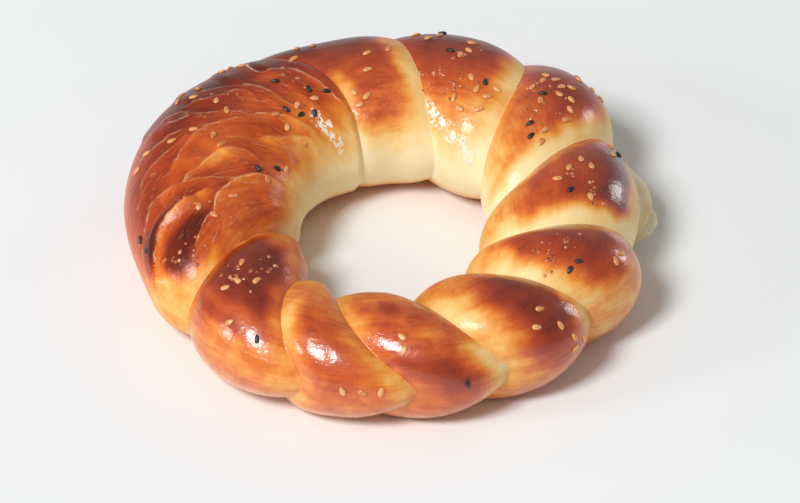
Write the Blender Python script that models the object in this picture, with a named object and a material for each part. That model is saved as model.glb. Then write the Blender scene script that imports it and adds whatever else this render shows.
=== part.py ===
"""Acma, a soft ring bread of twisted dough strewn with seeds, as one solid with a flat underside.

The ring lies in the XY plane with +Z up. Ring angles run anticlockwise from +X as seen from above, and
section angles run from 0 on the outer side over 90 on the crest to 180 on the side of the hole.
Lengths are in millimetres up to the meshes, which are in metres.
"""

import math
import random
from dataclasses import dataclass

import bmesh
import bpy
import numpy as np
from mathutils import Matrix, Vector

MM = 0.001


@dataclass(frozen=True)
class Station:
    """The roll of dough at one ring angle: where its middle runs, and how wide and high it is."""

    ring_deg: float
    middle: float
    half_width: float
    height: float


@dataclass(frozen=True)
class Groove:
    """A valley between two turns of the twist, by the ring angles where it crosses the roll.

    A turn's flank falls into the valley over after_deg on the side of larger ring angles, and over
    before_deg on the other side. The depth is a share of the section's radius.
    """

    crest_deg: float
    outer_deg: float
    inner_deg: float
    depth: float
    before_deg: float
    after_deg: float


@dataclass(frozen=True)
class Patch:
    """A place on the skin that seeds are strewn over, with how many of each kind fall there."""

    ring_deg: float
    section_deg: float
    ring_spread: float
    section_spread: float
    sesame: int
    nigella: int


@dataclass(frozen=True)
class Ply:
    """A ply of the roll's flat end, which flares away from the turn that it lies against.

    Its free edge rises from edge_from to edge_to above the underside, and its top slopes up from there.
    """

    ring_from: float
    ring_to: float
    edge_from: float
    edge_to: float
    slope: float
    flare: float


@dataclass(frozen=True)
class Grain:
    """A kind of seed: a drop that is pointed at one end."""

    length: float
    width: float
    thickness: float
    sunk_share: float


# The roll round the ring. The smooth part at 110 to 205 degrees is the thickest.
STATIONS = (
    Station(0, 52.7, 24.1, 37),
    Station(15, 54.1, 23.5, 37.5),
    Station(42, 59.0, 26.2, 39.7),
    Station(65, 58.5, 26.1, 39.6),
    Station(86, 57.7, 25.9, 38.9),
    Station(105, 55.6, 26.1, 38.0),
    Station(124, 55.3, 26.7, 38.4),
    Station(145, 54.8, 27.9, 39.4),
    Station(170, 52.6, 27.0, 38.7),
    Station(195, 50.6, 24.4, 36.5),
    Station(213, 52.0, 23.7, 35.2),
    Station(240, 55.3, 20.9, 32.5),
    Station(265, 54.4, 20.8, 31.8),
    Station(295, 54.8, 22.1, 33),
    Station(325, 54.4, 24.3, 35.5),
    Station(343, 54.3, 25.6, 36.5),
)

# The valleys of the twist, in the order of their ring angles.
GROOVES = (
    Groove(-151.5, -146.5, -169, 0.24, 13, 16),
    Groove(-123, -110, -129, 0.17, 16, 10),
    Groove(-103, -83, -113, 0.17, 10, 15),
    Groove(-72.8, -60, -81.5, 0.23, 15, 15),
    Groove(-42.8, -33.5, -52.5, 0.25, 15, 17),
    Groove(-16, -6, -29.5, 0.23, 16, 17),
    Groove(18.8, 27, 4.2, 0.20, 17, 14),
    Groove(48.5, 61, 38, 0.17, 14, 16),
    Groove(82, 91, 65, 0.10, 16, 12),
    Groove(111, 132, 103, 0.06, 12, 4),
)

# The middle of each section, as a share of its height, which also sets how wide the flat underside is.
MIDDLE_SHARE = 0.46
FLANK_POWER = 2.2
TWIST_SHARPNESS = 0.93
UNDERSIDE_DEPTH_SHARE = 0.85

# The smooth part ends in lips of dough that lie over each other, along circles round one leaning axis.
LIP_AXIS_AT = (-66.0, -12.0, 20.0)
LIP_AXIS_LEAN_DEG = 40
LIP_RADII = (34.5, 45.5, 54.5, 62.0)
LIP_HEIGHT = 1.3
LIP_RISE = 2.0
LIP_FALL = 7.0
LIP_SECTIONS_DEG = (5, 150)
SMOOTH_TURN = 9
MAXIMUM_FADE = 0.12

# The loose fold near the end of the smooth part, by ring angle and section angle.
FOLD_PATH_DEG = ((189, 71), (191, 48), (194.5, 34), (199, 25), (204, 19))
FOLD_HEIGHT = 2.6
FOLD_HALF_WIDTH = 3.2
SECTION_RADIUS = 22.0

ROWS_PER_TURN = 8
ROWS_ON_SMOOTH_PART = 32
UNDERSIDE_DEG = (238, 302)
POINTS_ABOVE = 26
POINTS_BELOW = 3


def through(angles_deg, values, at_deg):
    """A smooth closed curve through values at angles_deg, read at at_deg."""
    angles = np.array(angles_deg, float)
    levels = np.array(values, float)
    angles = np.concatenate([angles - 360, angles, angles + 360])
    levels = np.tile(levels, 3)
    slopes = np.gradient(levels, angles)
    at = np.asarray(at_deg, float) % 360
    left = np.clip(np.searchsorted(angles, at) - 1, 0, len(angles) - 2)
    span = angles[left + 1] - angles[left]
    share = (at - angles[left]) / span
    rest = 1 - share
    return (
        levels[left] * (1 + 2 * share) * rest**2
        + slopes[left] * span * share * rest**2
        + levels[left + 1] * (3 - 2 * share) * share**2
        - slopes[left + 1] * span * rest * share**2
    )


def ramp(value, low, high):
    """0 up to low and 1 from high, with a smooth rise between."""
    share = np.clip((value - low) / (high - low), 0, 1)
    return share * share * (3 - 2 * share)


def groove_angle(groove, section):
    """The ring angle, in degrees, of a groove at a section angle: a helix that closes on the underside."""
    wave = np.arcsin(TWIST_SHARPNESS * np.cos(section)) / math.asin(TWIST_SHARPNESS)
    outward = groove.outer_deg - groove.crest_deg
    inward = groove.crest_deg - groove.inner_deg
    return groove.crest_deg + (outward + inward) / 2 * wave + (outward - inward) / 2 * wave**2


def valley_share(ring_deg, section):
    """How deep the skin lies in the valleys of the twist, as a share of the section's radius."""
    depth = np.zeros(np.broadcast(ring_deg, section).shape)
    for groove in GROOVES:
        away = (ring_deg - groove_angle(groove, section) + 180) % 360 - 180
        reach = np.where(away < 0, groove.before_deg, groove.after_deg)
        depth += groove.depth * (1 - np.clip(np.abs(away) / reach, 0, 1)) ** FLANK_POWER
    below = np.clip(-np.sin(section), 0, 1)
    return depth * (1 - (1 - UNDERSIDE_DEPTH_SHARE) * below)


def skin(ring_deg, section, lift=0.0):
    """Points of the roll's skin, in millimetres, raised by lift."""
    angles = [s.ring_deg for s in STATIONS]
    middle = through(angles, [s.middle for s in STATIONS], ring_deg)
    half_width = through(angles, [s.half_width for s in STATIONS], ring_deg)
    height = through(angles, [s.height for s in STATIONS], ring_deg)
    full = 1 - valley_share(ring_deg, section)
    out = middle + (half_width * full + lift) * np.cos(section)
    up = height * (MIDDLE_SHARE + (1 - MIDDLE_SHARE) * full * np.sin(section)) + lift * np.sin(section)
    ring = np.radians(ring_deg)
    return np.stack([out * np.cos(ring), out * np.sin(ring), np.maximum(up, 0)], -1)


# Where seeds fell, round the ring. Each patch stands for a few that lie near each other.
PATCHES = (
    Patch(6, 78, 5, 12, 3, 0),
    Patch(19, 38, 3, 6, 2, 1),
    Patch(23, 100, 3, 4, 2, 0),
    Patch(28, 106, 3, 4, 0, 2),
    Patch(33, 78, 6, 14, 5, 1),
    Patch(38, 28, 2, 5, 2, 0),
    Patch(41, 78, 5, 16, 6, 0),
    Patch(44, 42, 2, 8, 2, 0),
    Patch(57, 116, 7, 16, 7, 1),
    Patch(69, 78, 4, 14, 3, 1),
    Patch(80, 56, 5, 12, 3, 1),
    Patch(93, 88, 4, 12, 2, 0),
    Patch(101, 113, 5, 16, 4, 0),
    Patch(113, 56, 5, 12, 3, 0),
    Patch(116, 112, 8, 12, 1, 2),
    Patch(128, 120, 6, 7, 1, 3),
    Patch(128, 88, 3, 4, 0, 1),
    Patch(138, 48, 11, 12, 7, 0),
    Patch(140, 124, 5, 16, 3, 0),
    Patch(146, 82, 4, 6, 2, 0),
    Patch(159, 140, 7, 6, 1, 1),
    Patch(162, 80, 5, 22, 4, 0),
    Patch(164, 34, 6, 8, 2, 0),
    Patch(175, 126, 5, 12, 1, 1),
    Patch(191, 92, 7, 22, 3, 0),
    Patch(192, 25, 4, 4, 0, 2),
    Patch(222, 70, 6, 16, 4, 0),
    Patch(234, 36, 5, 12, 1, 1),
    Patch(265, 16, 5, 6, 3, 0),
    Patch(272, 60, 4, 16, 2, 0),
    Patch(287, 16, 3, 4, 0, 1),
    Patch(311, 40, 4, 14, 3, 0),
    Patch(317, 8, 3, 8, 3, 0),
    Patch(330, 63, 5, 5, 0, 2),
    Patch(338, 39, 3, 6, 2, 0),
    Patch(358, 78, 3, 18, 2, 1),
)
SESAME = Grain(3.0, 1.9, 0.9, 0.3)
NIGELLA = Grain(2.8, 1.6, 1.2, 0.3)
SEED_SIDES = 5
SEED_RINGS = (0.25, 0.7)
SEED_POINTEDNESS = 0.45
SEED_GAP = 3.3
SEED_TRIES = 40
DRAW = 17

# The flat end of the roll, which lies against the outer side of a turn as two plies of thin dough.
PLIES = (
    Ply(6.5, 22, 5, 16, 4.5, 7.5),
    Ply(6.5, 20, 2.5, 8, 4, 12.5),
)
PLY_STEPS = 10
PLY_EMBEDDED = 8
PLY_CLEARANCE = 0.4
PLY_FOOT_SHARE = 0.4

CRUST_COLOUR = (0.42, 0.13, 0.035, 1)
CRUST_ROUGHNESS = 0.38


def ring_angle(turn, section):
    """The ring angle, in degrees, at a turn, which is a groove's number plus the share of the way to the next."""
    index = int(turn) % len(GROOVES)
    start = groove_angle(GROOVES[index], section)
    following = (index + 1) % len(GROOVES)
    end = groove_angle(GROOVES[following], section) + (360 if following == 0 else 0)
    return start + (end - start) * (turn - int(turn))


def lip_lift(point, share, section):
    """How far the lips at the end of the smooth part stand out, at a share of the way along it."""
    lean = math.radians(LIP_AXIS_LEAN_DEG)
    away = point - np.array(LIP_AXIS_AT)
    radius = np.hypot(away[..., 0], away[..., 1] * math.sin(lean) + away[..., 2] * math.cos(lean))
    lift = np.zeros(radius.shape)
    for lip in LIP_RADII:
        past = radius - lip
        lift += LIP_HEIGHT * ramp(past, -LIP_RISE, 0) * np.exp(-np.maximum(past, 0) / LIP_FALL)
    low, high = np.radians(LIP_SECTIONS_DEG)
    fade = ramp(section, low - 0.35, low + 0.35) * ramp(-section, -high - 0.35, -high + 0.35)
    return lift * fade * ramp(share, 0.0, MAXIMUM_FADE) * ramp(1 - share, 0.0, MAXIMUM_FADE)


def fold_lift(ring_deg, section):
    """How far the loose fold stands out."""
    turn_width = math.radians(1) * STATIONS[0].middle
    at = np.stack(np.broadcast_arrays(ring_deg % 360 * turn_width, section * SECTION_RADIUS), -1)
    path = [np.array([r * turn_width, math.radians(s) * SECTION_RADIUS]) for r, s in FOLD_PATH_DEG]
    nearest = np.full(at.shape[:-1], np.inf)
    for start, end in zip(path, path[1:]):
        run = end - start
        share = np.clip(((at - start) @ run) / (run @ run), 0, 1)
        nearest = np.minimum(nearest, np.linalg.norm(at - start - share[..., None] * run, axis=-1))
    return FOLD_HEIGHT * ramp(-nearest, -FOLD_HALF_WIDTH, 0)


def relief(ring_deg, section):
    """Points of the skin with the lips and the fold of the smooth part on it."""
    first, last = GROOVES[SMOOTH_TURN], GROOVES[(SMOOTH_TURN + 1) % len(GROOVES)]
    start = groove_angle(first, section)
    end = groove_angle(last, section) + 360
    share = ((ring_deg - start) % 360) / (end - start)
    plain = skin(ring_deg, section)
    on_smooth = np.where(share <= 1, share, 0)
    return skin(ring_deg, section, lip_lift(plain, on_smooth, section) + fold_lift(ring_deg, section))


def section_angles():
    """The section angles of the mesh's points, in radians, with few across the flat underside."""
    low, high = UNDERSIDE_DEG
    above = np.linspace(high - 360, low, POINTS_ABOVE)
    below = np.linspace(low, high, POINTS_BELOW + 2)[1:-1]
    return np.radians(np.concatenate([above, below]))


def turn_rows():
    """The turns of the mesh's rows, closer together near the valleys."""
    turns = []
    for index in range(len(GROOVES)):
        rows = ROWS_ON_SMOOTH_PART if index == SMOOTH_TURN else ROWS_PER_TURN
        turns += [index + (1 - math.cos(math.pi * row / rows)) / 2 for row in range(rows)]
    return turns


def mesh_object(name, bm, collection):
    """A bmesh as an object in a collection."""
    mesh = bpy.data.meshes.new(name)
    bm.to_mesh(mesh)
    bm.free()
    made = bpy.data.objects.new(name, mesh)
    collection.objects.link(made)
    return made


def bread_ring():
    """The twisted ring without its seeds."""
    sections = section_angles()
    bm = bmesh.new()
    rows = []
    for turn in turn_rows():
        points = relief(ring_angle(turn, sections), sections)
        rows.append([bm.verts.new(Vector(p) * MM) for p in points])
    for row, following in zip(rows, rows[1:] + rows[:1]):
        for k in range(len(sections)):
            after = (k + 1) % len(sections)
            bm.faces.new((row[k], following[k], following[after], row[after]))
    bmesh.ops.recalc_face_normals(bm, faces=bm.faces)
    return mesh_object("acma", bm, bpy.context.scene.collection)


def flank_radius(ring_deg, up):
    """How far from the ring's centre the outer side of the roll is, at a height above its underside."""
    angles = [s.ring_deg for s in STATIONS]
    middle = through(angles, [s.middle for s in STATIONS], ring_deg)
    half_width = through(angles, [s.half_width for s in STATIONS], ring_deg)
    height = through(angles, [s.height for s in STATIONS], ring_deg)
    rise = (up / height - MIDDLE_SHARE) / (1 - MIDDLE_SHARE)
    return middle + half_width * math.sqrt(1 - rise * rise)


def ply(shape, collection):
    """One ply of the roll's flat end: a lip that comes out of the turn, flares and goes back into it."""
    bm = bmesh.new()
    slices = []
    for step in range(PLY_STEPS + 1):
        share = step / PLY_STEPS
        ring_deg = shape.ring_from + (shape.ring_to - shape.ring_from) * share
        reach = shape.flare * math.sin(math.pi * share) ** 0.7
        edge = shape.edge_from + (shape.edge_to - shape.edge_from) * share
        inside = flank_radius(ring_deg, PLY_CLEARANCE) - PLY_EMBEDDED
        outline = (
            (inside, PLY_CLEARANCE),
            (flank_radius(ring_deg, PLY_CLEARANCE) - 1 + reach * PLY_FOOT_SHARE, PLY_CLEARANCE),
            (flank_radius(ring_deg, edge) - 0.6 + reach, edge),
            (flank_radius(ring_deg, edge + shape.slope) - 1, edge + shape.slope),
            (inside, edge + shape.slope),
        )
        ring = math.radians(ring_deg)
        points = [Vector((r * math.cos(ring), r * math.sin(ring), z)) * MM for r, z in outline]
        slices.append([bm.verts.new(p) for p in points])
    bm.faces.new(slices[0])
    bm.faces.new(slices[-1])
    for here, following in zip(slices, slices[1:]):
        for k in range(len(here)):
            after = (k + 1) % len(here)
            bm.faces.new((here[k], following[k], following[after], here[after]))
    bmesh.ops.recalc_face_normals(bm, faces=bm.faces)
    return mesh_object("ply", bm, collection)


def seed(grain, place, collection):
    """One seed, pointed at its +X end."""
    bm = bmesh.new()
    rings = []
    for share in SEED_RINGS:
        swell = math.sin(math.pi * share) ** 0.7 * (1 - SEED_POINTEDNESS * (share - 0.3))
        ring = []
        for side in range(SEED_SIDES):
            angle = 2 * math.pi * side / SEED_SIDES
            y = grain.width / 2 * swell * math.cos(angle)
            z = grain.thickness / 2 * swell * math.sin(angle)
            ring.append(bm.verts.new(((share - 0.5) * grain.length, y, z)))
        rings.append(ring)
    for tip_x, ring in ((-0.5, rings[0]), (0.5, rings[-1])):
        tip = bm.verts.new((tip_x * grain.length, 0, 0))
        for k in range(SEED_SIDES):
            bm.faces.new((tip, ring[k], ring[(k + 1) % SEED_SIDES]))
    for here, following in zip(rings, rings[1:]):
        for k in range(SEED_SIDES):
            after = (k + 1) % SEED_SIDES
            bm.faces.new((here[k], here[after], following[after], following[k]))
    bmesh.ops.recalc_face_normals(bm, faces=bm.faces)
    bmesh.ops.transform(bm, matrix=place, verts=bm.verts)
    return mesh_object("seed", bm, collection)


def place_on_skin(ring_deg, section_deg, heading):
    """The matrix that lays a seed on the skin, turned by heading, with its middle on the skin."""
    section = math.radians(section_deg)
    step = 0.5
    across = relief(ring_deg + step, section) - relief(ring_deg - step, section)
    along = relief(ring_deg, section + math.radians(step)) - relief(ring_deg, section - math.radians(step))
    up = Vector(np.cross(across, along)).normalized()
    forward = Vector(across).normalized()
    forward.rotate(Matrix.Rotation(heading, 3, up))
    side = up.cross(forward)
    turned = Matrix((forward, side, up)).transposed().to_4x4()
    return Matrix.Translation(Vector(relief(ring_deg, section))) @ turned


def settled(place, grain, bread):
    """The place of a seed in metres, moved to the mesh's faces and as far out of them as the seed shows."""
    _, on_face, _, _ = bread.closest_point_on_mesh(place.translation * MM)
    up = place.to_3x3().col[2]
    stand = grain.thickness * (0.5 - grain.sunk_share) * MM
    return Matrix.Translation(on_face + up * stand) @ place.to_3x3().to_4x4() @ Matrix.Scale(MM, 4)


def strewn_seeds():
    """Each seed's kind and its matrix, from the patches, with no two of them closer than SEED_GAP."""
    draw = random.Random(DRAW)
    found = []
    for patch in PATCHES:
        kinds = [SESAME] * patch.sesame + [NIGELLA] * patch.nigella
        for grain in kinds:
            for _ in range(SEED_TRIES):
                ring_deg = patch.ring_deg + draw.uniform(-1, 1) * patch.ring_spread
                section_deg = patch.section_deg + draw.uniform(-1, 1) * patch.section_spread
                place = place_on_skin(ring_deg, section_deg, draw.uniform(0, 2 * math.pi))
                gaps = [(place.translation - other.translation).length for _, other in found]
                if min(gaps, default=SEED_GAP) >= SEED_GAP:
                    found.append((grain, place))
                    break
    return found


def join(bread, collection):
    """Joins what the collection holds to the bread by one Boolean union, and removes the collection."""
    modifier = bread.modifiers.new("seeds", "BOOLEAN")
    modifier.operation = "UNION"
    modifier.solver = "EXACT"
    modifier.operand_type = "COLLECTION"
    modifier.collection = collection
    bpy.context.view_layer.objects.active = bread
    bpy.ops.object.modifier_apply(modifier=modifier.name)
    for topping in list(collection.objects):
        bpy.data.objects.remove(topping)
    bpy.data.collections.remove(collection)


def centre(bread):
    """Moves the mesh so that the origin is in the middle of the underside of its box."""
    points = np.array([v.co for v in bread.data.vertices])
    low, high = points.min(axis=0), points.max(axis=0)
    middle = (low + high) / 2
    bread.data.transform(Matrix.Translation((-middle[0], -middle[1], -low[2])))


def crust():
    """Egg-washed crust, browned."""
    material = bpy.data.materials.new("egg-washed crust")
    material.use_nodes = True
    shader = material.node_tree.nodes["Principled BSDF"]
    shader.inputs["Base Color"].default_value = CRUST_COLOUR
    shader.inputs["Roughness"].default_value = CRUST_ROUGHNESS
    shader.inputs["Metallic"].default_value = 0
    return material


def main():
    """Builds the bread in an empty scene."""
    for old in list(bpy.data.objects):
        bpy.data.objects.remove(old)
    bread = bread_ring()
    toppings = bpy.data.collections.new("toppings")
    bpy.context.scene.collection.children.link(toppings)
    for shape in PLIES:
        ply(shape, toppings)
    for grain, place in strewn_seeds():
        seed(grain, settled(place, grain, bread), toppings)
    join(bread, toppings)
    centre(bread)
    bread.data.materials.clear()
    bread.data.materials.append(crust())
    bread.data.shade_smooth()


if __name__ == "__main__":
    main()
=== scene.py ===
"""Acma: a soft ring bread of twisted dough, with an egg-washed crust and seeds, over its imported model.

The bread rests on the floor with +Z up. Ring angles run anticlockwise from +X as seen from above, and section
angles run from 0 on the outer side over 90 on the crest to 180 on the side of the hole. The roll of dough is
worked out in millimetres round the ring's centre, and meshes are in metres.
"""

import logging
import math
import random
from dataclasses import dataclass, field
from enum import Enum

import bpy
import numpy as np
from mathutils import Matrix, Vector


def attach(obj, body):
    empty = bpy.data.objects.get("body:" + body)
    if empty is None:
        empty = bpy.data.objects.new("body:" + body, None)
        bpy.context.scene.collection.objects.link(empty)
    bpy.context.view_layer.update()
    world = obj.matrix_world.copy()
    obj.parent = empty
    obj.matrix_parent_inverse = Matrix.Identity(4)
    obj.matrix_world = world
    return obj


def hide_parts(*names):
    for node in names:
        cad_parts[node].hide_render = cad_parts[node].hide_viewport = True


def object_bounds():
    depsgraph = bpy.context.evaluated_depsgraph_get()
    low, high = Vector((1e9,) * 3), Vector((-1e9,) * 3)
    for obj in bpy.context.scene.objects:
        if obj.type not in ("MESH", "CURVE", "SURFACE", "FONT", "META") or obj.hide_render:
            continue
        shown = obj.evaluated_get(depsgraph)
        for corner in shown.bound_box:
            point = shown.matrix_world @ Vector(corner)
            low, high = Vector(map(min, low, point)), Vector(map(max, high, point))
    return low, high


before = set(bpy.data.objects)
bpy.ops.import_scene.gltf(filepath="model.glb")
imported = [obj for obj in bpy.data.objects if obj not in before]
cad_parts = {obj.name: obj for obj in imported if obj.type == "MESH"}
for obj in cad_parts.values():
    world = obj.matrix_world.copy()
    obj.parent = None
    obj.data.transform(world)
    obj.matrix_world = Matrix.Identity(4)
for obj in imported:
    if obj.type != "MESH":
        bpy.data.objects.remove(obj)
CAD_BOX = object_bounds()

Array = np.ndarray
Socket = bpy.types.NodeSocket
Pairs = tuple[tuple[float, float], ...]
MM = 0.001
FAR = 1e3
NODE = "acma"
BODY = "root"
STROKE_MAP = "stroke"
log = logging.getLogger("acma")


class Layer(Enum):
    """The measures of the crust that its mesh carries from corner to corner."""

    BAKE = "bake"
    UNEVEN = "uneven"
    CREASE = "crease"
    CREASED = "creased"
    WASHED = "washed"
    HAIRED = "haired"
    FLAKED = "flaked"


class Turn(Enum):
    """The turns of the twist, by the number of the valley that each one begins at."""

    FRONT_LEFT = 0
    FRONT = 1
    FRONT_RIGHT = 2
    RIGHT_LOW = 3
    RIGHT = 4
    END = 5
    RIGHT_BACK = 6
    BACK_RIGHT = 7
    BACK = 8
    SMOOTH = 9


@dataclass(frozen=True)
class Station:
    """The roll of dough at one ring angle: where its middle runs, and how wide and high it is."""

    ring_deg: float
    middle: float
    half_width: float
    height: float


@dataclass(frozen=True)
class Groove:
    """A valley between two turns, by the ring angles where it crosses the roll.

    The depth is a share of the section's radius. A turn falls into the valley over after_deg on the side of
    larger ring angles, and over before_deg on the other side.
    """

    crest_deg: float
    outer_deg: float
    inner_deg: float
    depth: float
    before_deg: float
    after_deg: float

    def angle(self, section: Array, sharpness: float) -> Array:
        """Gives the ring angle of the valley at a section angle: a helix that closes on the underside.

        Args:
            section: Section angles in radians.
            sharpness: How straight the valley runs over the crest, below 1.

        Returns:
            Ring angles in degrees.
        """
        wave = np.arcsin(sharpness * np.cos(section)) / math.asin(sharpness)
        outward = self.outer_deg - self.crest_deg
        inward = self.crest_deg - self.inner_deg
        return self.crest_deg + (outward + inward) / 2 * wave + (outward - inward) / 2 * wave**2


@dataclass(frozen=True)
class Bake:
    """How brown a turn is, from 0 for pale dough to 1 for the darkest crust.

    Each row begins with a section angle. The tones are those of the valley that the turn comes out of, of its
    body, and of its far side, where it dives under the next turn. The rise runs from the valley's tone to the
    body's tone, by shares of the way across, and the fall does the same by shares from the far side.
    """

    valley: Pairs
    body: Pairs
    far: Pairs
    rise: tuple[tuple[float, float, float], ...]
    fall: tuple[tuple[float, float, float], ...]

    def tone(self, share: Array, degrees: Array) -> Array:
        """Gives the turn's tone.

        Args:
            share: Shares of the way across the turn.
            degrees: Section angles in degrees.

        Returns:
            0 for pale dough up to about 1 for the darkest crust.
        """

        def read(rows: tuple[tuple[float, ...], ...], column: int = 1) -> Array:
            return np.interp(degrees, [row[0] for row in rows], [row[column] for row in rows])

        valley, body, far = read(self.valley), read(self.body), read(self.far)
        level = valley + (body - valley) * ramp(share, read(self.rise, 1), read(self.rise, 2))
        return far + (level - far) * ramp(1 - share, read(self.fall, 1), read(self.fall, 2))


@dataclass(frozen=True)
class Spot:
    """A place on the skin, by its ring and section angles, and how far it spreads each way in degrees."""

    ring_deg: float
    section_deg: float
    ring_spread: float
    section_spread: float


@dataclass(frozen=True)
class Scorch(Spot):
    """A soft-edged place that the oven browned more, or less where change is below 0."""

    change: float
    lean: float = -0.15
    fade: tuple[float, float] = (0.3, 1.5)

    def at(self, ring_deg: Array, degrees: Array) -> Array:
        """Gives the change of tone at ring and section angles in degrees."""
        along = degrees - self.section_deg
        across = wrapped(ring_deg - self.ring_deg - self.lean * along)
        reach = np.hypot(across / self.ring_spread, along / self.section_spread)
        return self.change * fall(reach, *self.fade)


@dataclass(frozen=True)
class Rash(Spot):
    """A place where the egg wash rose in tiny blisters, with how many there are."""

    count: int


@dataclass(frozen=True)
class Patch(Spot):
    """A place that seeds are strewn over, with how many of each kind fall there."""

    sesame: int
    nigella: int


@dataclass(frozen=True)
class Wave:
    """A sine wave that is shifted from turn to turn, so that no two turns have the same edges."""

    height: float
    rate: float
    shift: float

    def at(self, place: Array, turn: int) -> Array:
        """Gives the wave's height at places on a turn."""
        return self.height * np.sin(self.rate * place + self.shift * turn)


@dataclass(frozen=True)
class Rise:
    """A measure that goes smoothly from a first value to a last one between two levels of another one."""

    first: float
    last: float
    low: float
    high: float

    def at(self, level: Array) -> Array:
        """Gives the measure's values at levels of the other one."""
        return self.first + (self.last - self.first) * ramp(level, self.low, self.high)


@dataclass(frozen=True)
class Crease:
    """A pale line where one layer of dough ends on the next.

    It runs from the outer side inwards, by ring and section angles along it. The layer on its right stands
    out by the height, with painted light near the line as its lit side, and painted shade on its left.
    """

    path_deg: Pairs
    strength: float = 1.0
    height: float = 0.2
    painted_light: float = 0.10
    painted_shade: float = 0.09


@dataclass(frozen=True)
class Grain:
    """A kind of seed: a drop that is pointed at one end."""

    length: float
    width: float
    thickness: float
    sunk_share: float


def linear(code: str) -> tuple[float, float, float, float]:
    """Turns an sRGB hex colour to linear values.

    Args:
        code: The colour, such as "#fae5ad".

    Returns:
        Red, green, blue and alpha, as Blender's sockets take them.
    """
    shares = [int(code[k : k + 2], 16) / 255 for k in (1, 3, 5)]
    red, green, blue = (s / 12.92 if s <= 0.04045 else ((s + 0.055) / 1.055) ** 2.4 for s in shares)
    return red, green, blue, 1.0


def fill(tree: bpy.types.NodeTree, node: bpy.types.Node, inputs: dict) -> None:
    """Sets a node's inputs, or links sockets to them, by the inputs' names or numbers."""
    for name, value in inputs.items():
        if isinstance(value, Socket):
            tree.links.new(value, node.inputs[name])
        else:
            node.inputs[name].default_value = value


def add_node(tree: bpy.types.NodeTree, kind: str, inputs: dict | None = None, **settings) -> bpy.types.Node:
    """Adds a node with its settings, its values and its links.

    Args:
        tree: The tree that the node goes into.
        kind: Blender's name of the node's type, without "ShaderNode".
        inputs: Values, or sockets to link from, by the input's name or number.
        **settings: The node's own properties.

    Returns:
        The new node.
    """
    node = tree.nodes.new("ShaderNode" + kind)
    for name, value in settings.items():
        setattr(node, name, value)
    fill(tree, node, inputs or {})
    return node


class Shading:
    """A material, with the kinds of nodes that the finishes are made of."""

    def __init__(self, name: str) -> None:
        """Makes the material and finds its shader."""
        self.material = bpy.data.materials.new(name)
        self.material.use_nodes = True
        self.tree = self.material.node_tree
        self.shader = self.tree.nodes["Principled BSDF"]

    def place(self) -> Socket:
        """Gives object coordinates, in metres."""
        return add_node(self.tree, "TexCoord").outputs["Object"]

    def stretched(self, at: Socket, scale: tuple[float, float, float]) -> Socket:
        """Scales places differently along each axis."""
        return add_node(self.tree, "Mapping", {"Vector": at, "Scale": scale}).outputs[0]

    def noise(
        self, at: Socket, scale: float, detail: float = 2.0, roughness: float = 0.5, distortion: float = 0.0
    ) -> Socket:
        """Adds noise from 0 to 1, with scale as its waves to one unit of the place."""
        inputs = {"Vector": at, "Scale": scale, "Detail": detail}
        inputs |= {"Roughness": roughness, "Distortion": distortion}
        return add_node(self.tree, "TexNoise", inputs).outputs["Fac"]

    def maths(self, operation: str, *values: Socket | float) -> Socket:
        """Adds one step of arithmetic."""
        return add_node(self.tree, "Math", dict(enumerate(values)), operation=operation).outputs[0]

    def fitted(
        self, value: Socket, span: tuple[float, float], to: tuple[float, float] = (0, 1), kind: str = "LINEAR"
    ) -> Socket:
        """Carries a value from one span to another and holds it at the ends."""
        inputs = {"Value": value, "From Min": span[0], "From Max": span[1], "To Min": to[0], "To Max": to[1]}
        return add_node(self.tree, "MapRange", inputs, interpolation_type=kind).outputs["Result"]

    def line(self, value: Socket, middle: float, half_width: float, kind: str = "LINEAR") -> Socket:
        """Draws a line where a value crosses its middle, 1 there and 0 from the half width on."""
        off = self.maths("ABSOLUTE", self.maths("SUBTRACT", value, middle))
        return self.fitted(off, (0.0, half_width), (1.0, 0.0), kind)

    def mixed(self, share: Socket, first: Socket | str, second: str) -> Socket:
        """Mixes two colours, given as sockets or sRGB hex."""
        colours = {k: linear(c) if isinstance(c, str) else c for k, c in (("A", first), ("B", second))}
        return add_node(self.tree, "Mix", {"Factor": share, **colours}, data_type="RGBA").outputs["Result"]

    def ramped(self, value: Socket, stops: tuple[tuple[float, str], ...]) -> Socket:
        """Colours a value by places from 0 to 1 with sRGB hex colours."""
        node = add_node(self.tree, "ValToRGB", {"Fac": value})
        elements = node.color_ramp.elements
        elements.remove(elements[-1])
        elements[0].position, elements[0].color = stops[0][0], linear(stops[0][1])
        for place, code in stops[1:]:
            elements.new(place).color = linear(code)
        return node.outputs["Color"]

    def bumped(self, height: Socket, millimetres: float) -> Socket:
        """Gives the shaded normal of a relief, with the depth that a height of 1 stands for."""
        inputs = {"Height": height, "Strength": 1.0, "Distance": millimetres * MM}
        return add_node(self.tree, "Bump", inputs).outputs["Normal"]

    def dressed(self, inputs: dict[str, object]) -> bpy.types.Material:
        """Sets the shader's sockets and gives the material."""
        fill(self.tree, self.shader, inputs)
        return self.material


def ramp(value: Array, low: Array | float, high: Array | float) -> Array:
    """Gives 0 up to low and 1 from high, with a smooth rise between."""
    share = np.clip((value - low) / (high - low), 0, 1)
    return share * share * (3 - 2 * share)


def fall(value: Array, low: Array | float, high: Array | float) -> Array:
    """Gives 1 up to low and 0 from high, with a smooth fall between."""
    return ramp(-value, -high, -low)


def wrapped(degrees: Array) -> Array:
    """Gives an angle's equal between -180 and 180 degrees."""
    return (degrees + 180) % 360 - 180


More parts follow.
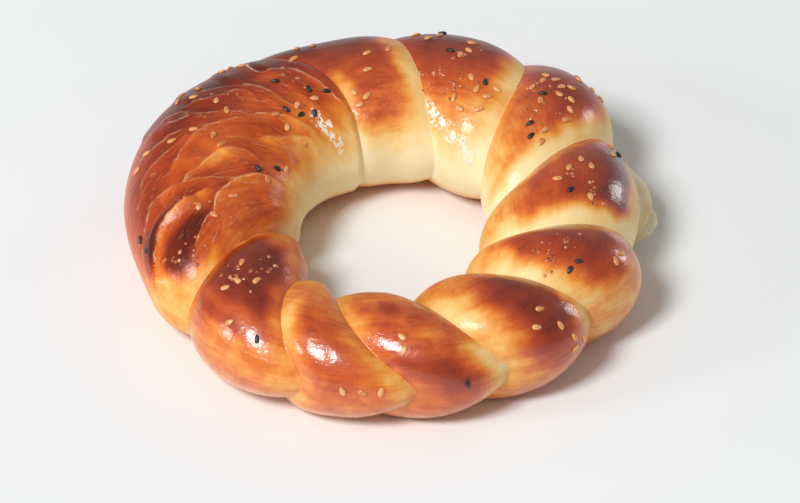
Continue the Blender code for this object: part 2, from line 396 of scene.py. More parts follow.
def through(angles_deg: list[float], values: list[float], at_deg: Array) -> Array:
    """Reads a smooth closed curve.

    Args:
        angles_deg: Rising angles below 360 degrees.
        values: The curve's value at each of them.
        at_deg: Where the curve is read.

    Returns:
        The curve's values there.
    """
    angles = np.array(angles_deg, float)
    levels = np.tile(np.array(values, float), 3)
    angles = np.concatenate([angles - 360, angles, angles + 360])
    slopes = np.gradient(levels, angles)
    at = np.asarray(at_deg, float) % 360
    left = np.clip(np.searchsorted(angles, at) - 1, 0, len(angles) - 2)
    span = angles[left + 1] - angles[left]
    share = (at - angles[left]) / span
    rest = 1 - share
    return (
        levels[left] * (1 + 2 * share) * rest**2
        + slopes[left] * span * share * rest**2
        + levels[left + 1] * (3 - 2 * share) * share**2
        - slopes[left + 1] * span * rest * share**2
    )


@dataclass(frozen=True)
class Roll:
    """The roll of dough that is twisted and closed to a ring, and the place of every point of its skin."""

    stations: tuple[Station, ...] = (
        Station(0, 52.7, 24.1, 37), Station(15, 54.1, 23.5, 37.5), Station(42, 59.0, 26.2, 39.7),
        Station(65, 58.5, 26.1, 39.6), Station(86, 57.7, 25.9, 38.9), Station(105, 55.6, 26.1, 38.0),
        Station(124, 55.3, 26.7, 38.4), Station(145, 54.8, 27.9, 39.4), Station(170, 52.6, 27.0, 38.7),
        Station(195, 50.6, 24.4, 36.5), Station(213, 52.0, 23.7, 35.2), Station(240, 55.3, 20.9, 32.5),
        Station(265, 54.4, 20.8, 31.8), Station(295, 54.8, 22.1, 33), Station(325, 54.4, 24.3, 35.5),
        Station(343, 54.3, 25.6, 36.5),
    )
    grooves: tuple[Groove, ...] = (
        Groove(-151.5, -146.5, -169, 0.24, 13, 16), Groove(-123, -110, -129, 0.17, 16, 10),
        Groove(-103, -83, -113, 0.17, 10, 15), Groove(-72.8, -60, -81.5, 0.23, 15, 15),
        Groove(-42.8, -33.5, -52.5, 0.25, 15, 17), Groove(-16, -6, -29.5, 0.23, 16, 17),
        Groove(18.8, 27, 4.2, 0.20, 17, 14), Groove(48.5, 61, 38, 0.17, 14, 16),
        Groove(82, 91, 65, 0.10, 16, 12), Groove(111, 132, 103, 0.06, 12, 4),
    )
    middle_share: float = 0.46
    flank_power: float = 2.2
    sharpness: float = 0.93
    underside_depth_share: float = 0.85
    lip_axis_at: tuple[float, float, float] = (-66.0, -12.0, 20.0)
    lip_axis_lean_deg: float = 40
    lip_radii: tuple[float, ...] = (34.5, 45.5, 54.5, 62.0)
    lip_height: float = 0.6
    lip_rise: float = 2.0
    lip_fall: float = 7.0
    lip_sections_deg: tuple[float, float] = (5, 150)
    lip_side_fade: float = 0.35
    lip_end_fade: float = 0.12
    fold_path_deg: Pairs = ((189, 71), (191, 48), (194.5, 34), (199, 25), (204, 19))
    fold_height: float = 1.9
    fold_half_width: float = 3.2
    section_radius: float = 22.0

    def read(self, name: str, ring_deg: Array) -> Array:
        """Gives one measure of the roll's stations at ring angles."""
        levels = [getattr(station, name) for station in self.stations]
        return through([station.ring_deg for station in self.stations], levels, ring_deg)

    def valley_share(self, ring_deg: Array, section: Array) -> Array:
        """Gives how deep the skin lies in the valleys, as a share of the section's radius."""
        depth = np.zeros(np.broadcast(ring_deg, section).shape)
        for groove in self.grooves:
            away = wrapped(ring_deg - groove.angle(section, self.sharpness))
            reach = np.where(away < 0, groove.before_deg, groove.after_deg)
            depth += groove.depth * (1 - np.clip(np.abs(away) / reach, 0, 1)) ** self.flank_power
        below = np.clip(-np.sin(section), 0, 1)
        return depth * (1 - (1 - self.underside_depth_share) * below)

    def skin(self, ring_deg: Array, section: Array, lift: Array | float = 0.0) -> Array:
        """Gives points of the skin.

        Args:
            ring_deg: Ring angles in degrees.
            section: Section angles in radians.
            lift: How far the skin is raised, in millimetres.

        Returns:
            Points in millimetres round the ring's centre.
        """
        full = 1 - self.valley_share(ring_deg, section)
        reach = self.read("half_width", ring_deg) * full + lift
        out = self.read("middle", ring_deg) + reach * np.cos(section)
        rise = self.middle_share + (1 - self.middle_share) * full * np.sin(section)
        up = self.read("height", ring_deg) * rise + lift * np.sin(section)
        ring = np.radians(ring_deg)
        return np.stack([out * np.cos(ring), out * np.sin(ring), np.maximum(up, 0)], -1)

    def valley_angles(self, section: Array) -> Array:
        """Gives the ring angles of all the valleys and of the first one again, one row each."""
        rows = [g.angle(section, self.sharpness) for g in self.grooves]
        return np.stack(rows + [rows[0] + 360])

    def ring_deg(self, turn: Array, share: Array, section: Array) -> Array:
        """Gives ring angles from the number of the turn and the share of the way across it."""
        angles = self.valley_angles(section)
        here = np.arange(len(section))
        return angles[turn, here] * (1 - share) + angles[turn + 1, here] * share

    def round_lips(self, point: Array) -> Array:
        """Gives how far points are from the axis that the lips of the smooth part run round."""
        lean = math.radians(self.lip_axis_lean_deg)
        away = point - np.array(self.lip_axis_at)
        return np.hypot(away[..., 0], away[..., 1] * math.sin(lean) + away[..., 2] * math.cos(lean))

    def lip_lift(self, point: Array, share: Array, section: Array) -> Array:
        """Gives how far the lips at the end of the smooth part stand out, at a share of the way along it."""
        radius = self.round_lips(point)
        lift = np.zeros(radius.shape)
        for lip in self.lip_radii:
            past = radius - lip
            ease = np.exp(-np.maximum(past, 0) / self.lip_fall)
            lift += self.lip_height * ramp(past, -self.lip_rise, 0) * ease
        low, high = np.radians(self.lip_sections_deg)
        side, end = self.lip_side_fade, self.lip_end_fade
        lift *= ramp(section, low - side, low + side) * fall(section, high - side, high + side)
        return lift * ramp(share, 0, end) * ramp(1 - share, 0, end)

    def from_path(self, path_deg: Pairs, ring_deg: Array, section: Array) -> Array:
        """Gives the signed distance, in millimetres along the skin, from a path of ring and section angles.

        Args:
            path_deg: The path's corners.
            ring_deg: Ring angles in degrees.
            section: Section angles in radians.

        Returns:
            Distances, below 0 on the path's right.
        """
        across = math.radians(1) * self.stations[0].middle
        at = np.stack(np.broadcast_arrays(ring_deg % 360 * across, section * self.section_radius), -1)
        path = [np.array([r * across, math.radians(s) * self.section_radius]) for r, s in path_deg]
        nearest = np.full(at.shape[:-1], FAR)
        for start, end in zip(path, path[1:]):
            run = end - start
            away = at - start
            share = np.clip((away @ run) / (run @ run), 0, 1)
            gap = np.linalg.norm(away - share[..., None] * run, axis=-1)
            side = np.where(away[..., 1] * run[0] - away[..., 0] * run[1] < 0, -1.0, 1.0)
            nearest = np.where(gap < np.abs(nearest), gap * side, nearest)
        return nearest

    def fold_lift(self, ring_deg: Array, section: Array) -> Array:
        """Gives how far the loose fold stands out."""
        nearest = np.abs(self.from_path(self.fold_path_deg, ring_deg, section))
        return self.fold_height * fall(nearest, 0, self.fold_half_width)

    def smooth_share(self, ring_deg: Array, section: Array) -> Array:
        """Gives the share of the way along the smooth part, and 0 off it."""
        start = self.grooves[-1].angle(section, self.sharpness)
        end = self.grooves[0].angle(section, self.sharpness) + 360
        share = ((ring_deg - start) % 360) / (end - start)
        return np.where(share <= 1, share, 0)

    def lift(self, ring_deg: Array, section: Array) -> Array:
        """Gives how far the lips and the fold of the smooth part stand out."""
        lips = self.lip_lift(self.skin(ring_deg, section), self.smooth_share(ring_deg, section), section)
        return lips + self.fold_lift(ring_deg, section)

    def relief(self, ring_deg: Array, section: Array) -> Array:
        """Gives points of the skin with the lips and the fold of the smooth part on it."""
        return self.skin(ring_deg, section, self.lift(ring_deg, section))

    def centre(self) -> Vector:
        """Gives the ring's centre in the row frame, in metres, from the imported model's low corner."""
        ring, section = np.meshgrid(np.arange(0, 360, 0.5), np.radians(np.arange(0, 360, 1.0)))
        low = self.relief(ring, section).reshape(-1, 3).min(axis=0)
        return Vector((CAD_BOX[0][0] - low[0] * MM, CAD_BOX[0][1] - low[1] * MM, 0.0))


@dataclass(frozen=True)
class Corners:
    """Where the corners of the ring's faces lie: their turns, and their shares of the way across the turn.

    Ring angles are in degrees and section angles in radians. A corner on a valley belongs to one turn's end
    in one face and to the next turn's start in the other.
    """

    turn: Array
    share: Array
    ring_deg: Array
    section: Array

    def on(self, part: Turn) -> Array:
        """Tells which corners are on a turn."""
        return self.turn == part.value

    def degrees(self) -> Array:
        """Gives section angles in degrees."""
        return np.degrees(self.section)


@dataclass(frozen=True)
class CrustFinish:
    """Egg-washed crust: soft dough brushed with egg and browned in the oven.

    The wash dries to a thin glossy coat that breaks the highlights up, and the brush leaves streaks across
    the roll. The valleys opened in the oven after brushing, so they stay pale and duller.
    """

    stops: tuple[tuple[float, str], ...] = (
        (0.0, "#fef4da"), (0.10, "#fce8b4"), (0.20, "#f7d088"), (0.30, "#f0b25e"), (0.40, "#e9923a"),
        (0.50, "#dc7327"), (0.60, "#c9581d"), (0.70, "#b14217"), (0.80, "#973212"), (0.90, "#7b260d"),
        (1.0, "#5f1b08"), (1.15, "#431205"),
    )
    crease_colour: str = "#efb77c"
    # Near-white colour of the flaked egg wash, and of the painted highlight and sheen that the same mask draws.
    flake_and_highlight_colour: str = "#fdeed6"
    bake_span: float = 1.2
    crease_half_width: float = 0.5
    hair_half_width: float = 0.018
    coat_roughness: float = 0.13
    # Browner crust is smoother: its roughness at the ends of a span of tones.
    tone_span: tuple[float, float] = (0.05, 0.5)
    roughness_span: tuple[float, float] = (0.5, 0.32)
    # Creases and hairlines come and go: how much of them is kept, at the ends of a span of the noise.
    break_span: tuple[float, float] = (0.4, 0.6)
    kept_span: tuple[float, float] = (0.12, 0.9)
    flake_and_highlight_span: tuple[float, float] = (0.42, 0.58)
    # Brush strokes are 1 to 5 mm apart and run 15 mm or more, and hairlines are about 2 mm apart.
    fine_stretch: tuple[float, float, float] = (0.8, 0.11, 1.0)
    wide_stretch: tuple[float, float, float] = (0.2, 0.035, 1.0)
    hair_stretch: tuple[float, float, float] = (0.42, 0.06, 1.0)
    # Waves to a metre: mottling about 8 mm across, and grain of 0.5 mm, drawn coarser than its real 0.2 mm.
    mottle_rate: float = 130.0
    grain_rate: float = 2000.0
    waver_rate: float = 420.0
    break_rate: float = 260.0
    crack_rate: float = 520.0
    fine_share: float = 0.4
    mottle_share: float = 1.6
    middle_level: float = 1.5
    waver_mm: float = 1.6
    fine_mm: float = 0.06
    mottle_mm: float = 0.32
    grain_mm: float = 0.015
    crease_mm: float = 0.10
    flake_and_highlight_mm: float = 0.12

    def material(self) -> bpy.types.Material:
        """Makes the crust's material."""
        skin = Shading("egg-washed crust")
        stroke = add_node(skin.tree, "UVMap", uv_map=STROKE_MAP).outputs["UV"]
        place = skin.place()
        layers = {
            layer: add_node(skin.tree, "Attribute", attribute_name=layer.value).outputs["Fac"]
            for layer in Layer
        }
        fine = skin.noise(skin.stretched(stroke, self.fine_stretch), 1.0, 4.0, 0.62)
        wide = skin.noise(skin.stretched(stroke, self.wide_stretch), 1.0, 3.0)
        mottle = skin.noise(place, self.mottle_rate, 4.0, 0.6)
        grain = skin.noise(place, self.grain_rate)
        tone = self.tone(skin, layers, fine, wide, mottle)
        baked = skin.ramped(tone, tuple((level / self.bake_span, code) for level, code in self.stops))
        creased = self.crease_mask(skin, layers, stroke, place)
        flaked = self.flake_and_highlight_mask(skin, layers, place)
        height = skin.maths("MULTIPLY", fine, self.fine_mm)
        depths = ((mottle, self.mottle_mm), (grain, self.grain_mm), (creased, self.crease_mm))
        for source, depth in (*depths, (flaked, self.flake_and_highlight_mm)):
            height = skin.maths("MULTIPLY_ADD", source, depth, height)
        relief = skin.bumped(height, 1.0)
        with_creases = skin.mixed(creased, baked, self.crease_colour)
        # The base colour goes towards near-white where the flakes and the painted highlight lie.
        return skin.dressed({
            "Base Color": skin.mixed(flaked, with_creases, self.flake_and_highlight_colour),
            "Roughness": skin.fitted(tone, self.tone_span, self.roughness_span),
            "Normal": relief,
            "Coat Normal": relief,
            "Coat Weight": layers[Layer.WASHED],
            "Coat Roughness": self.coat_roughness,
            "Coat IOR": 1.56,
            "Specular IOR Level": 0.28,
            "Subsurface Weight": 0.12,
            "Subsurface Radius": (1.0, 0.45, 0.2),
            "Subsurface Scale": 0.003,
        })

    def tone(
        self, skin: Shading, layers: dict[Layer, Socket], fine: Socket, wide: Socket, mottle: Socket
    ) -> Socket:
        """Adds streaks and mottling to how brown the crust is.

        Args:
            skin: The crust's shading.
            layers: The crust's measures.
            fine: Narrow brush streaks.
            wide: Wide brush streaks.
            mottle: Mottling.

        Returns:
            The place on the colour ramp.
        """
        streaks = skin.maths("MULTIPLY_ADD", fine, self.fine_share, wide)
        both = skin.maths("MULTIPLY_ADD", mottle, self.mottle_share, streaks)
        centred = skin.maths("SUBTRACT", both, self.middle_level)
        baked = skin.maths("MULTIPLY_ADD", centred, layers[Layer.UNEVEN], layers[Layer.BAKE])
        return skin.maths("DIVIDE", baked, self.bake_span)

    def crease_mask(
        self, skin: Shading, layers: dict[Layer, Socket], stroke: Socket, place: Socket
    ) -> Socket:
        """Draws the creases' thin pale lines, which waver and come and go, and hairlines along the strokes.

        Args:
            skin: The crust's shading.
            layers: The crust's measures.
            stroke: The map that the streaks follow.
            place: Object coordinates.

        Returns:
            0 off the lines and up to 1 on them.
        """
        waver = skin.noise(place, self.waver_rate, 3.0)
        shifted = skin.maths("MULTIPLY_ADD", waver, self.waver_mm, layers[Layer.CREASE])
        line = skin.line(shifted, self.waver_mm / 2, self.crease_half_width, "SMOOTHSTEP")
        kept = skin.fitted(skin.noise(place, self.break_rate), self.break_span, self.kept_span)
        creased = skin.maths("MULTIPLY", skin.maths("MULTIPLY", line, kept), layers[Layer.CREASED])
        bands = skin.noise(skin.stretched(stroke, self.hair_stretch), 1.0, 2.0, 0.6, 0.35)
        hair = skin.maths("MULTIPLY", skin.line(bands, 0.5, self.hair_half_width), kept)
        return skin.maths("MAXIMUM", creased, skin.maths("MULTIPLY", hair, layers[Layer.HAIRED]))

    def flake_and_highlight_mask(self, skin: Shading, layers: dict[Layer, Socket], place: Socket) -> Socket:
        """Draws pale flakes of cracked egg wash and a painted highlight, 0 off them and up to 1 on them."""
        cracks = skin.noise(place, self.crack_rate, 3.0, 0.5, 1.2)
        shown = skin.maths("MULTIPLY", cracks, layers[Layer.FLAKED])
        return skin.fitted(shown, self.flake_and_highlight_span, kind="SMOOTHSTEP")


@dataclass(frozen=True)
class SeedFinish:
    """The skin of a seed: a colour that varies between two tones, and fine ridges."""

    name: str
    dark: str
    light: str
    roughness: float
    coat: float
    ridge_mm: float
    tone_rate: float = 260.0
    tone_span: tuple[float, float] = (0.35, 0.65)
    ridge_rate: float = 2400.0

    def material(self) -> bpy.types.Material:
        """Makes the seeds' material: tones that change over about 4 mm, and ridges 0.4 mm apart."""
        skin = Shading(self.name)
        place = skin.place()
        tones = skin.fitted(skin.noise(place, self.tone_rate), self.tone_span)
        return skin.dressed({
            "Base Color": skin.mixed(tones, self.dark, self.light),
            "Normal": skin.bumped(skin.noise(place, self.ridge_rate), self.ridge_mm),
            "Roughness": self.roughness,
            "Coat Weight": self.coat,
            "Coat Roughness": 0.15,
        })


@dataclass(frozen=True)
class BlisterFinish:
    """Egg wash that rose in a blister: thin, glossy and lighter than the crust round it."""

    stops: tuple[tuple[float, str], ...] = ((0.35, "#943d18"), (0.5, "#b8602e"), (0.68, "#d9996a"))

    def material(self) -> bpy.types.Material:
        """Makes the blisters' material, with tones that change over about 3 mm, from blister to blister."""
        skin = Shading("blistered egg wash")
        return skin.dressed({
            "Base Color": skin.ramped(skin.noise(skin.place(), 330.0), self.stops),
            "Roughness": 0.3,
            "Coat Weight": 0.9,
            "Coat Roughness": 0.1,
        })


@dataclass(frozen=True)
class DoughFinish:
    """Plain baked dough without egg wash: pale, matt and a little wrinkled."""

    pale: str = "#f7edca"
    warm: str = "#ecd7a2"

    def material(self) -> bpy.types.Material:
        """Makes the dough's material, with tones 6 mm apart and wrinkles 1.5 mm apart."""
        skin = Shading("pale baked dough")
        place = skin.place()
        tones = skin.fitted(skin.noise(place, 160.0, 3.0), (0.35, 0.65))
        return skin.dressed({
            "Base Color": skin.mixed(tones, self.pale, self.warm),
            "Normal": skin.bumped(skin.noise(place, 700.0, 3.0, 0.5, 0.6), 0.2),
            "Roughness": 0.5,
            "Subsurface Weight": 0.2,
            "Subsurface Radius": (1.0, 0.6, 0.3),
            "Subsurface Scale": 0.003,
        })


@dataclass(frozen=True)
class FloorFinish:
    """A pale painted floor."""

    colour: str = "#f3f6f6"

    def material(self) -> bpy.types.Material:
        """Makes the floor's material."""
        return Shading("pale floor").dressed({"Base Color": linear(self.colour), "Roughness": 0.6})


class Piece:
    """A named mesh that is ready to ride on the bread's body."""

    def __init__(self, name: str, made: bpy.types.Object, material: bpy.types.Material) -> None:
        """Names a mesh, dresses it and shades it smooth.

        Args:
            name: The piece's name.
            made: Its object.
            material: Its finish.
        """
        made.name = name
        made.data.name = name
        made.data.materials.clear()
        made.data.materials.append(material)
        made.data.shade_smooth()
        self.object = made
        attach(made, BODY)
        log.info("%s: %d faces", name, len(made.data.polygons))


@dataclass(frozen=True)
class BreadRing:
    """The ring of twisted dough."""

    roll: Roll = field(default_factory=Roll)
    finish: CrustFinish = field(default_factory=CrustFinish)
    rows_per_turn: int = 35
    rows_on_smooth_part: int = 197
    evenness: float = 0.35
    points_above: int = 178
    points_below: int = 12
    underside_deg: tuple[float, float] = (238, 302)
    radii: tuple[float, float] = (0.0545, 0.024)
    bakes: tuple[Bake, ...] = (
        Bake(
            valley=((-15, 0.47), (22, 0.54), (35, 0.76), (67, 0.8), (82, 0.6), (97, 0.44), (125, 0.44)),
            body=(
                (-15, 0.47), (22, 0.47), (37, 0.62), (50, 0.64), (62, 0.88), (97, 0.9), (112, 0.86),
                (127, 0.54), (150, 0.46),
            ),
            far=((-15, 0.38), (7, 0.38), (22, 0.4), (37, 0.42), (67, 0.5), (97, 0.62), (120, 0.62)),
            rise=((0, 0.02, 0.12),),
            fall=((0, 0.03, 0.24),),
        ),
        Bake(
            valley=(
                (-15, 0.33), (7, 0.44), (22, 0.5), (40, 0.4), (55, 0.3), (70, 0.28), (85, 0.4), (100, 0.44),
                (120, 0.42),
            ),
            body=(
                (-15, 0.5), (7, 0.6), (30, 0.66), (67, 0.67), (82, 0.61), (97, 0.52), (112, 0.42),
                (140, 0.37),
            ),
            far=((-15, 0.38), (22, 0.33), (37, 0.35), (52, 0.4), (67, 0.46), (97, 0.53), (120, 0.52)),
            rise=((0, 0.03, 0.28), (50, 0.05, 0.38), (67, 0.1, 0.46), (90, 0.08, 0.44)),
            fall=((0, 0.03, 0.4),),
        ),
        Bake(
            valley=(
                (-15, 0.47), (7, 0.54), (37, 0.56), (52, 0.56), (67, 0.38), (82, 0.46), (97, 0.38),
                (127, 0.29),
            ),
            body=(
                (-15, 0.58), (7, 0.67), (22, 0.73), (37, 0.71), (52, 0.62), (67, 0.58), (90, 0.64),
                (112, 0.5), (130, 0.46),
            ),
            far=((-15, 0.28), (7, 0.22), (37, 0.21), (48, 0.38), (60, 0.53), (82, 0.6), (112, 0.66)),
            rise=((0, 0.0, 0.2), (60, 0.06, 0.36), (82, 0.02, 0.3)),
            fall=((0, 0.08, 0.44), (45, 0.06, 0.34), (60, 0.02, 0.2)),
        ),
        Bake(
            valley=(
                (-15, 0.38), (7, 0.38), (22, 0.36), (40, 0.34), (55, 0.28), (70, 0.24), (85, 0.22),
                (97, 0.25), (112, 0.36), (127, 0.45),
            ),
            body=(
                (-15, 0.52), (7, 0.62), (22, 0.8), (37, 0.86), (60, 0.88), (82, 0.86), (95, 0.8),
                (108, 0.62), (127, 0.52),
            ),
            far=(
                (-15, 0.35), (7, 0.32), (22, 0.28), (37, 0.27), (52, 0.4), (62, 0.7), (80, 0.84),
                (110, 0.62),
            ),
            rise=(
                (0, 0.02, 0.38), (37, 0.04, 0.56), (52, 0.08, 0.6), (82, 0.08, 0.6), (97, 0.1, 0.7),
                (120, 0.04, 0.5),
            ),
            fall=((22, 0.03, 0.34), (37, 0.03, 0.2), (60, 0.02, 0.14)),
        ),
        Bake(
            valley=(
                (-15, 0.36), (22, 0.33), (37, 0.28), (60, 0.22), (85, 0.18), (112, 0.17), (127, 0.24),
                (142, 0.31),
            ),
            body=(
                (-15, 0.36), (7, 0.37), (22, 0.44), (37, 0.68), (52, 0.82), (82, 0.77), (112, 0.72),
                (120, 0.5), (130, 0.36), (150, 0.3),
            ),
            far=(
                (-15, 0.36), (37, 0.36), (52, 0.5), (67, 0.68), (82, 0.75), (112, 0.7), (122, 0.4),
                (150, 0.3),
            ),
            rise=((30, 0.04, 0.36), (67, 0.05, 0.44), (82, 0.04, 0.42), (97, 0.0, 0.32), (112, 0.04, 0.54)),
            fall=((0, 0.02, 0.26),),
        ),
        Bake(
            valley=(
                (0, 0.10), (22, 0.14), (52, 0.2), (70, 0.17), (85, 0.15), (112, 0.15), (142, 0.14),
                (172, 0.18),
            ),
            body=(
                (0, 0.2), (22, 0.26), (30, 0.72), (36, 0.95), (52, 0.88), (67, 0.79), (97, 0.68),
                (112, 0.64), (120, 0.5), (130, 0.42), (142, 0.34), (172, 0.26),
            ),
            far=(
                (0, 0.15), (22, 0.2), (37, 0.34), (52, 0.5), (67, 0.63), (82, 0.58), (112, 0.64),
                (127, 0.44), (150, 0.31), (172, 0.26),
            ),
            rise=((45, 0.07, 0.26), (67, 0.07, 0.28), (97, 0.06, 0.28), (120, 0.0, 0.3)),
            fall=((0, 0.0, 0.22),),
        ),
        Bake(
            valley=(
                (22, 0.14), (52, 0.26), (67, 0.22), (82, 0.17), (97, 0.16), (112, 0.14), (130, 0.12),
                (172, 0.06),
            ),
            body=(
                (0, 0.2), (22, 0.3), (37, 0.65), (52, 0.8), (67, 0.82), (82, 0.74), (97, 0.61), (112, 0.57),
                (127, 0.41), (142, 0.33), (157, 0.19), (172, 0.09),
            ),
            far=(
                (0, 0.2), (22, 0.3), (52, 0.64), (82, 0.6), (97, 0.56), (112, 0.48), (127, 0.41),
                (142, 0.33), (157, 0.25), (172, 0.1),
            ),
            rise=((50, 0.03, 0.3), (67, 0.05, 0.4), (97, 0.06, 0.42), (112, 0.04, 0.42), (142, 0.03, 0.3)),
            fall=((0, 0.0, 0.22),),
        ),
        Bake(
            valley=(
                (45, 0.2), (82, 0.2), (97, 0.24), (112, 0.3), (127, 0.2), (142, 0.15), (157, 0.07),
                (172, 0.05),
            ),
            body=(
                (37, 0.9), (52, 0.94), (67, 0.88), (82, 0.79), (97, 0.71), (112, 0.57), (127, 0.42),
                (142, 0.31), (157, 0.19), (172, 0.1),
            ),
            far=(
                (45, 0.8), (82, 0.74), (97, 0.66), (112, 0.54), (127, 0.42), (142, 0.3), (157, 0.13),
                (172, 0.05),
            ),
            rise=((60, 0.05, 0.32), (100, 0.04, 0.32), (140, 0.06, 0.42)),
            fall=((0, 0.0, 0.2),),
        ),
        Bake(
            valley=(
                (45, 0.6), (67, 0.42), (82, 0.36), (97, 0.26), (112, 0.24), (142, 0.26), (157, 0.14),
                (172, 0.08),
            ),
            body=(
                (45, 1.0), (55, 0.96), (67, 0.88), (82, 0.75), (97, 0.67), (112, 0.61), (127, 0.56),
                (142, 0.42), (157, 0.21), (172, 0.09),
            ),
            far=(
                (45, 0.85), (82, 0.72), (97, 0.64), (112, 0.54), (127, 0.44), (142, 0.38), (157, 0.1),
                (172, 0.06),
            ),
            rise=((60, 0.09, 0.26), (97, 0.14, 0.34), (120, 0.1, 0.34), (140, 0.05, 0.34)),
            fall=((0, 0.0, 0.18),),
        ),
        Bake(
            valley=(
                (22, 0.74), (37, 0.9), (52, 0.98), (67, 0.92), (82, 0.8), (97, 0.66), (112, 0.64),
                (127, 0.45), (142, 0.36), (157, 0.2), (172, 0.1),
            ),
            body=(
                (-15, 0.46), (7, 0.52), (22, 0.66), (37, 0.76), (52, 0.8), (67, 0.75), (82, 0.67),
                (97, 0.63), (112, 0.62), (127, 0.62), (142, 0.54), (157, 0.28), (172, 0.12),
            ),
            far=(
                (-15, 0.3), (7, 0.28), (22, 0.34), (37, 0.38), (52, 0.4), (67, 0.42), (82, 0.5), (97, 0.54),
                (127, 0.56), (142, 0.45), (157, 0.26), (172, 0.14),
            ),
            rise=((0, 0.25, 0.6),),
            fall=((7, 0.05, 0.28), (22, 0.04, 0.2), (37, 0.02, 0.13), (52, 0.01, 0.07), (67, 0.01, 0.06)),
        ),
    )
    underside_tone: float = 0.46
    underside_fade: tuple[float, float] = (0.35, 0.75)
    darkest: float = 0.98
    # The borders between tones sway across a turn, in shares of it, and heave along it, in degrees.
    sways: tuple[Wave, ...] = (Wave(0.024, 0.09, 2.1), Wave(0.014, 0.23, 1.0))
    heaves: tuple[Wave, ...] = (Wave(3.0, 7.0, 1.7), Wave(1.6, 19.0, 1.0))
    smooth_sway: float = 1 / 3
    smooth_heave: float = 1.5
    # How far, in millimetres, a crease's raised layer and its painted light and shade reach from its line.
    crease_reach: float = 4.5
    crease_tone_reach: float = 3.0
    off_crease: float = 8.0
    # The edges in millimetres from a crease's line: its layer, painted light, painted shade and pale line.
    layer_edge: tuple[float, float] = (-0.3, 0.7)
    painted_light_edge: tuple[float, float] = (-0.3, 0.3)
    painted_shade_edge: tuple[float, float] = (0.0, 0.8)
    line_fade: tuple[float, float] = (1.6, 2.6)
    flake_and_highlight_fade: tuple[float, float] = (1.5, 6.0)
    # Browning is most uneven where it feathers out, and hairlines show best on middling brown.
    feather_in: Rise = Rise(0.0, 1.0, 0.15, 0.4)
    feather_out: Rise = Rise(1.0, 0.0, 0.55, 0.75)
    uneven: Rise = Rise(0.05, 0.19, 0.05, 0.5)
    feather_uneven: float = 0.13
    hair_in: Rise = Rise(0.0, 0.4, 0.25, 0.5)
    hair_out: Rise = Rise(1.0, 0.3, 0.75, 0.92)
    turn_hair: float = 0.05
    feather_hair: float = 0.16
    # The side that faces backwards is duller, and so is the smooth part off its crest.
    wash_in: Rise = Rise(0.15, 0.9, 0.2, 0.5)
    wash_back: Rise = Rise(1.0, 0.15, 0.05, 0.5)
    crest_in: Rise = Rise(0.0, 1.0, 70, 90)
    crest_out: Rise = Rise(1.0, 0.0, 98, 115)
    smooth_wash: float = 0.15
    crest_wash: float = 0.35
    # The direction of the smooth part's streaks, and how far apart the turns are on the stroke map.
    smooth_run: tuple[float, float] = (0.81, 0.59)
    smooth_middle_deg: float = 150.0
    map_gap: float = 160.0
    scorches: tuple[Scorch, ...] = (
        Scorch(226, 40, 8, 5, 0.10, 0.0), Scorch(271, 94, 3.5, 10, 0.16), Scorch(284, 22, 4, 20, 0.08),
        Scorch(119, 104, 5, 12, 0.08), Scorch(105, 110, 3.5, 16, -0.22), Scorch(198, 68, 5, 14, 0.22),
        Scorch(203, 46, 5, 14, 0.28), Scorch(195, 26, 3.5, 14, 0.26), Scorch(183, 58, 4, 9, -0.10),
        Scorch(169, 90, 6, 9, -0.11), Scorch(178, 103, 5, 8, -0.08), Scorch(128, 84, 4, 5, -0.14),
        Scorch(300, 12, 6, 8, -0.08, 0.0),
    )
    creases: tuple[Crease, ...] = (
        Crease((
            (124, 40), (126, 50), (128.2, 69), (127.2, 77), (123.2, 79), (118.5, 85), (115.8, 95),
            (113.2, 105.5), (110.8, 115.5), (108, 124),
        )),
        Crease(((147.8, 61), (146.2, 68), (143.2, 75), (139.2, 78), (137, 83.5), (137.2, 90)), 0.7),
        Crease(((135.2, 81), (133.2, 87), (131.5, 95.5), (130.5, 107.5), (128.2, 115)), 0.6),
        Crease(((156.8, 39.5), (153.2, 46), (152, 55.5), (152.5, 72), (149.8, 83.5), (146.8, 96)), 0.7),
        Crease(((143.5, 104), (139, 110), (135.2, 116.5), (131.5, 125), (128.2, 133)), 0.8),
        Crease(((159.2, 29.5), (158.8, 39), (156.2, 46), (155.8, 58), (153.5, 64.5)), 0.6, 0.15),
        Crease(((160.8, 77), (157, 82), (153, 89), (150, 96)), 0.55, 0.15),
        Crease(((174.8, 63), (171.2, 67), (166.2, 70.5), (162, 75.5), (159.5, 76)), 0.5),
        Crease((
            (181, 69), (177.5, 74.5), (175, 82.5), (171, 88), (167, 94), (163.8, 103), (163.2, 112),
            (164.5, 118),
        ), 0.85),
        Crease(((181, 69), (180, 82), (179.8, 95), (179, 107)), 0.5, 0.15),
        Crease((
            (203, 66), (201, 71), (197.8, 77), (194.5, 86), (191.2, 88), (187.5, 91.5), (184.2, 97.5),
            (179, 107), (175.2, 116.5), (172, 127), (171, 135.5),
        ), 0.9, 0.25, 0.16, 0.2),
        Crease((
            (200, 29), (197.5, 34), (194, 43), (191.5, 53.5), (190.4, 60.5), (188.2, 71), (185.8, 80),
        ), 0.7, 0.3, 0.3, 0.2),
        Crease(((151, 118.5), (146, 126), (138.5, 132), (133.2, 137)), 0.45, 0.15),
        Crease(((176.2, 37), (173.2, 40.5), (170.8, 48), (167.5, 58.5), (163.2, 68)), 0.5, 0.15),
        Crease(((187, 34.5), (183.8, 43), (182.2, 54), (181, 63.5), (181, 69)), 0.6, 0.2),
        Crease(((167, 30), (165, 42), (162, 55), (160, 66)), 0.4, 0.12),
        Crease(((145, 40), (144, 52), (142, 62), (139, 70)), 0.35, 0.1),
    )
